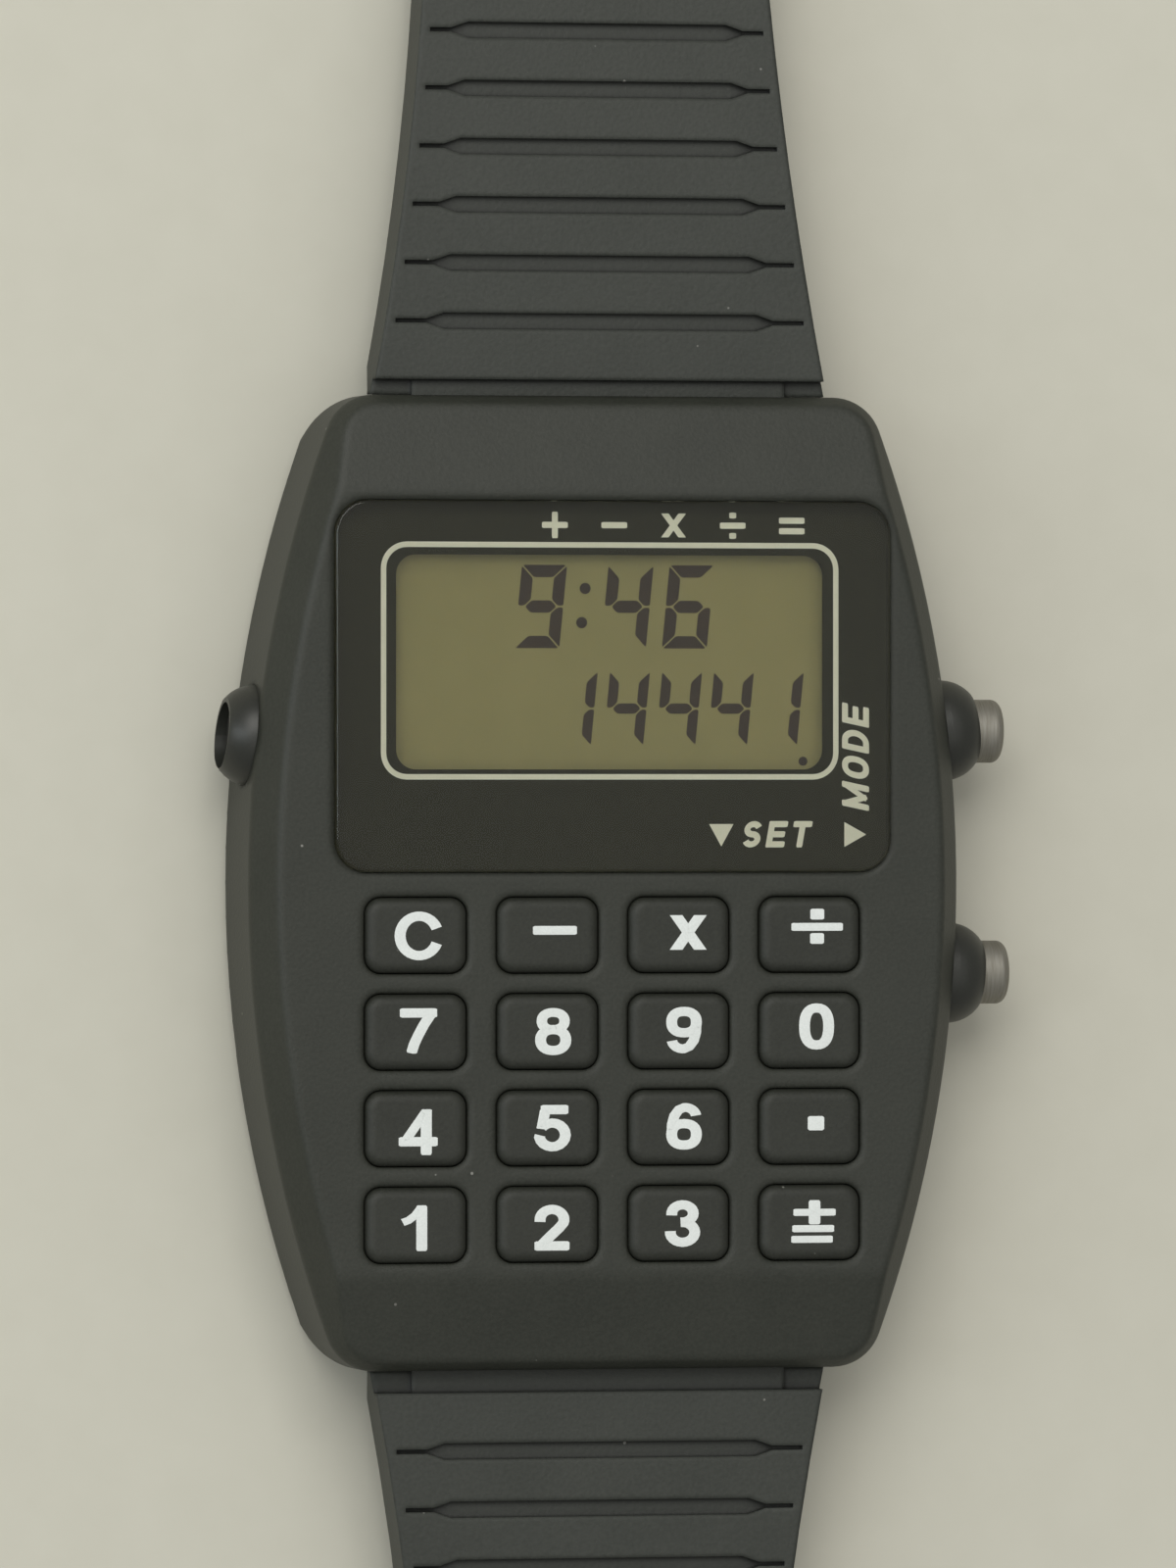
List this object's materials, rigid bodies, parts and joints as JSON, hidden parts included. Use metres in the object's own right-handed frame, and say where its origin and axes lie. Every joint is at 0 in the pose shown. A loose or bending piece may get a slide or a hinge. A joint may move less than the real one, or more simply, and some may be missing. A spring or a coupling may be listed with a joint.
{
  "type": "calculator watch",
  "caption": "Digital wristwatch with a bowed resin case, display window, keypad, side push buttons and a ribbed resin strap laid open with its buckle and keeper.",
  "frame": {"origin": "middle of the case back's flat outer face, which lies on the table", "axes": "+X to 3 o'clock, +Y to 12 o'clock, +Z out of the display"},
  "size_m": [0.0367, 0.2284, 0.0082],
  "materials": {
    "case_resin": "fine moulded texture, charcoal",
    "strap_resin": "fine moulded texture, charcoal",
    "key_rubber": "smooth, near black",
    "crystal_clear": "polished, clear",
    "mask_print": "black print with cream lines",
    "lcd_glass": "olive display with dark segments",
    "reflector_foil": "satin foil",
    "module_plastic": "moulded, off white",
    "connector_rubber": "striped, pink and black",
    "board_laminate": "green lacquer",
    "chip_resin": "glossy blob",
    "quartz_metal": "drawn can",
    "cell_steel": "nickel plated",
    "contact_metal": "sprung strip",
    "seal_rubber": "matt black",
    "steel_plate": "brushed across",
    "steel_small": "turned",
    "spring_steel": "drawn wire",
    "collar_plastic": "satin black",
    "button_plastic": "glossy black",
    "pin_steel": "polished, slightly bronzed",
    "buckle_steel": "satin"
  },
  "bodies": {
    "case": {"case_shell": "case_resin", "case_back": "steel_plate", "back_gasket": "seal_rubber", "back_screws": "steel_small", "crystal": "crystal_clear", "window_mask": "mask_print", "lcd_panel": "lcd_glass", "lcd_reflector": "reflector_foil", "lcd_holder": "module_plastic", "connector_strips": "connector_rubber", "circuit_board": "board_laminate", "module_frame": "module_plastic", "chip_blob": "chip_resin", "quartz_can": "quartz_metal", "battery": "cell_steel", "battery_clip": "contact_metal", "battery_spring": "contact_metal", "pusher_contacts": "contact_metal", "keypad_web": "key_rubber", "upper_bar_tube": "steel_small", "lower_bar_tube": "steel_small", "bar_tips": "steel_small", "bar_springs": "spring_steel", "upper_right_collar": "collar_plastic", "upper_right_spring": "spring_steel", "lower_right_collar": "collar_plastic", "lower_right_spring": "spring_steel", "left_collar": "collar_plastic", "left_spring": "spring_steel"},
    "upper_strap": {"upper_strap": "strap_resin"},
    "lower_strap": {"lower_strap": "strap_resin"},
    "buckle": {"buckle_frame": "buckle_steel", "buckle_bar": "buckle_steel"},
    "buckle_tongue": {"buckle_tongue": "buckle_steel"},
    "keeper": {"keeper_loop": "strap_resin"},
    "key_clear": {"key_clear": "key_rubber"},
    "key_minus": {"key_minus": "key_rubber"},
    "key_times": {"key_times": "key_rubber"},
    "key_divide": {"key_divide": "key_rubber"},
    "key_7": {"key_7": "key_rubber"},
    "key_8": {"key_8": "key_rubber"},
    "key_9": {"key_9": "key_rubber"},
    "key_0": {"key_0": "key_rubber"},
    "key_4": {"key_4": "key_rubber"},
    "key_5": {"key_5": "key_rubber"},
    "key_6": {"key_6": "key_rubber"},
    "key_point": {"key_point": "key_rubber"},
    "key_1": {"key_1": "key_rubber"},
    "key_2": {"key_2": "key_rubber"},
    "key_3": {"key_3": "key_rubber"},
    "key_plus_equals": {"key_plus_equals": "key_rubber"},
    "upper_right_button": {"upper_right_pin": "pin_steel", "upper_right_o_ring": "seal_rubber", "upper_right_retainer": "steel_small"},
    "lower_right_button": {"lower_right_pin": "pin_steel", "lower_right_o_ring": "seal_rubber", "lower_right_retainer": "steel_small"},
    "left_button": {"left_pin": "button_plastic", "left_o_ring": "seal_rubber", "left_retainer": "steel_small"}
  },
  "joints": [
    {"name": "upper_strap_hinge", "type": "hinge", "parent": "case", "child": "upper_strap", "pos_m": [0, 0.0201, 0.0042], "axis": [-1, 0, 0], "range_deg": [-3, 50]},
    {"name": "lower_strap_hinge", "type": "hinge", "parent": "case", "child": "lower_strap", "pos_m": [0, -0.0201, 0.0042], "axis": [1, 0, 0], "range_deg": [-3, 50]},
    {"name": "buckle_hinge", "type": "hinge", "parent": "upper_strap", "child": "buckle", "pos_m": [0, 0.08966, 0.0023], "axis": [1, 0, 0], "range_deg": [-45, 60]},
    {"name": "tongue_hinge", "type": "hinge", "parent": "buckle", "child": "buckle_tongue", "pos_m": [0, 0.08966, 0.0023], "axis": [1, 0, 0], "range_deg": [0, 80]},
    {"name": "keeper_slide", "type": "slide", "parent": "upper_strap", "child": "keeper", "axis": [0, -1, 0], "range_m": [0, 0.013]},
    {"name": "key_clear_press", "type": "slide", "parent": "case", "child": "key_clear", "axis": [0, 0, -1], "range_m": [0, 0.00045], "stiffness_N_per_m": 1000},
    {"name": "key_minus_press", "type": "slide", "parent": "case", "child": "key_minus", "axis": [0, 0, -1], "range_m": [0, 0.00045], "stiffness_N_per_m": 1000},
    {"name": "key_times_press", "type": "slide", "parent": "case", "child": "key_times", "axis": [0, 0, -1], "range_m": [0, 0.00045], "stiffness_N_per_m": 1000},
    {"name": "key_divide_press", "type": "slide", "parent": "case", "child": "key_divide", "axis": [0, 0, -1], "range_m": [0, 0.00045], "stiffness_N_per_m": 1000},
    {"name": "key_7_press", "type": "slide", "parent": "case", "child": "key_7", "axis": [0, 0, -1], "range_m": [0, 0.00045], "stiffness_N_per_m": 1000},
    {"name": "key_8_press", "type": "slide", "parent": "case", "child": "key_8", "axis": [0, 0, -1], "range_m": [0, 0.00045], "stiffness_N_per_m": 1000},
    {"name": "key_9_press", "type": "slide", "parent": "case", "child": "key_9", "axis": [0, 0, -1], "range_m": [0, 0.00045], "stiffness_N_per_m": 1000},
    {"name": "key_0_press", "type": "slide", "parent": "case", "child": "key_0", "axis": [0, 0, -1], "range_m": [0, 0.00045], "stiffness_N_per_m": 1000},
    {"name": "key_4_press", "type": "slide", "parent": "case", "child": "key_4", "axis": [0, 0, -1], "range_m": [0, 0.00045], "stiffness_N_per_m": 1000},
    {"name": "key_5_press", "type": "slide", "parent": "case", "child": "key_5", "axis": [0, 0, -1], "range_m": [0, 0.00045], "stiffness_N_per_m": 1000},
    {"name": "key_6_press", "type": "slide", "parent": "case", "child": "key_6", "axis": [0, 0, -1], "range_m": [0, 0.00045], "stiffness_N_per_m": 1000},
    {"name": "key_point_press", "type": "slide", "parent": "case", "child": "key_point", "axis": [0, 0, -1], "range_m": [0, 0.00045], "stiffness_N_per_m": 1000},
    {"name": "key_1_press", "type": "slide", "parent": "case", "child": "key_1", "axis": [0, 0, -1], "range_m": [0, 0.00045], "stiffness_N_per_m": 1000},
    {"name": "key_2_press", "type": "slide", "parent": "case", "child": "key_2", "axis": [0, 0, -1], "range_m": [0, 0.00045], "stiffness_N_per_m": 1000},
    {"name": "key_3_press", "type": "slide", "parent": "case", "child": "key_3", "axis": [0, 0, -1], "range_m": [0, 0.00045], "stiffness_N_per_m": 1000},
    {"name": "key_plus_equals_press", "type": "slide", "parent": "case", "child": "key_plus_equals", "axis": [0, 0, -1], "range_m": [0, 0.00045], "stiffness_N_per_m": 1000},
    {"name": "upper_right_press", "type": "slide", "parent": "case", "child": "upper_right_button", "axis": [-1, 0, 0], "range_m": [0, 0.0008], "stiffness_N_per_m": 800, "deforming": ["upper_right_spring"]},
    {"name": "lower_right_press", "type": "slide", "parent": "case", "child": "lower_right_button", "axis": [-1, 0, 0], "range_m": [0, 0.0008], "stiffness_N_per_m": 800, "deforming": ["lower_right_spring"]},
    {"name": "left_press", "type": "slide", "parent": "case", "child": "left_button", "axis": [1, 0, 0], "range_m": [0, 0.0006], "stiffness_N_per_m": 800, "deforming": ["left_spring"]}
  ]
}
